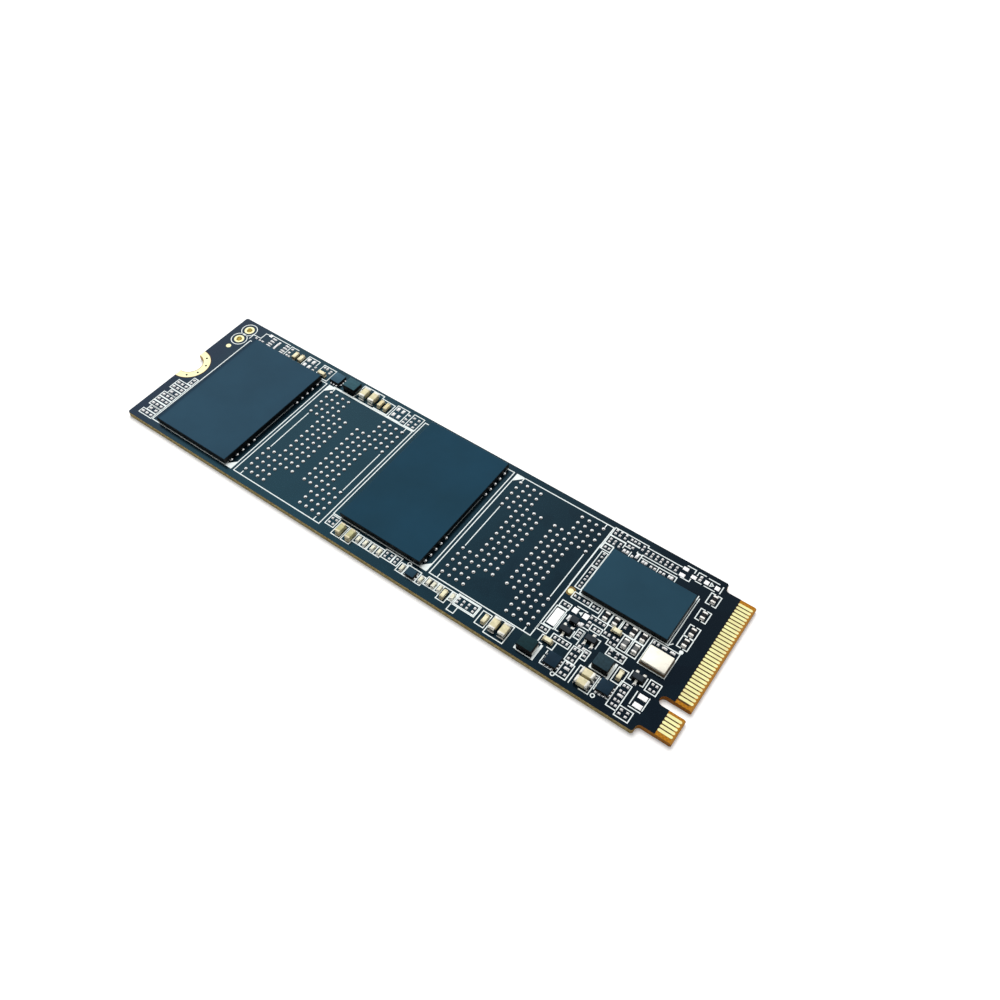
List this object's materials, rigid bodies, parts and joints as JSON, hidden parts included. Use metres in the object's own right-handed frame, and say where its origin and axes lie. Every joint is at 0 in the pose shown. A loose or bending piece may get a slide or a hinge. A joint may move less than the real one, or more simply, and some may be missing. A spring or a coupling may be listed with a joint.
{
  "type": "solid-state drive module",
  "caption": "Bare narrow circuit-board storage drive with flash packages, controller, small parts, a keyed edge connector at one end and a half-round screw notch at the other.",
  "frame": {"origin": "middle of the flat back face of the circuit board, halfway along and across its outline", "axes": "+X from the mounting notch to the connector tip, +Y across the board away from the key slot, +Z out of the side that carries the parts"},
  "size_m": [0.08, 0.022, 0.0018],
  "materials": {
    "board_coating": "navy solder coating on glass laminate, satin",
    "gold": "bright gold plating",
    "solder": "bright tin solder",
    "plated_ends": "tin plating",
    "package_mould": "dark slate moulding compound, satin",
    "chip_mould": "dark moulding compound, satin",
    "inductor_core": "pressed iron powder in resin, matte",
    "cap_ceramic": "beige fired ceramic",
    "pale_ceramic": "pale fired ceramic",
    "resistor_film": "black overglaze",
    "ferrite": "grey ferrite",
    "crystal_ceramic": "tan fired ceramic",
    "crystal_metal": "bright nickel lid"
  },
  "bodies": {
    "root": {"back_round_pads": "gold", "bottom_edge_contacts": "gold", "circuit_board": "board_coating", "controller_joints": "solder", "controller_package": "package_mould", "converter_1_body": "chip_mould", "converter_1_lands": "plated_ends", "converter_2_body": "chip_mould", "converter_2_lands": "plated_ends", "converter_3_body": "chip_mould", "converter_3_lands": "plated_ends", "crystal_base": "crystal_ceramic", "crystal_lid": "crystal_metal", "diode_body": "chip_mould", "diode_lands": "plated_ends", "ferrite_bead_bodies": "ferrite", "ferrite_bead_ends": "plated_ends", "flash_1_joints": "solder", "flash_1_package": "package_mould", "flash_1_side_bumps": "solder", "flash_2_joints": "solder", "flash_2_package": "package_mould", "flash_2_side_bumps": "solder", "inductor_1_core": "inductor_core", "inductor_1_terminals": "plated_ends", "inductor_2_core": "inductor_core", "inductor_2_terminals": "plated_ends", "inductor_3_core": "inductor_core", "inductor_3_terminals": "plated_ends", "large_capacitor_bodies": "cap_ceramic", "large_capacitor_ends": "plated_ends", "load_switch_body": "chip_mould", "load_switch_lands": "plated_ends", "medium_capacitor_bodies": "cap_ceramic", "medium_capacitor_ends": "plated_ends", "mounting_ring": "gold", "open_site_1_bumps": "solder", "open_site_2_bumps": "solder", "pale_capacitor_bodies": "pale_ceramic", "pale_capacitor_ends": "plated_ends", "plated_holes": "gold", "resistor_bodies": "resistor_film", "resistor_ends": "plated_ends", "small_capacitor_bodies": "cap_ceramic", "small_capacitor_ends": "plated_ends", "top_edge_contacts": "gold", "top_round_pads": "gold", "transistor_1_body": "chip_mould", "transistor_1_leads": "plated_ends", "transistor_2_body": "chip_mould", "transistor_2_leads": "plated_ends", "transistor_3_body": "chip_mould", "transistor_3_leads": "plated_ends"}
  },
  "joints": []
}
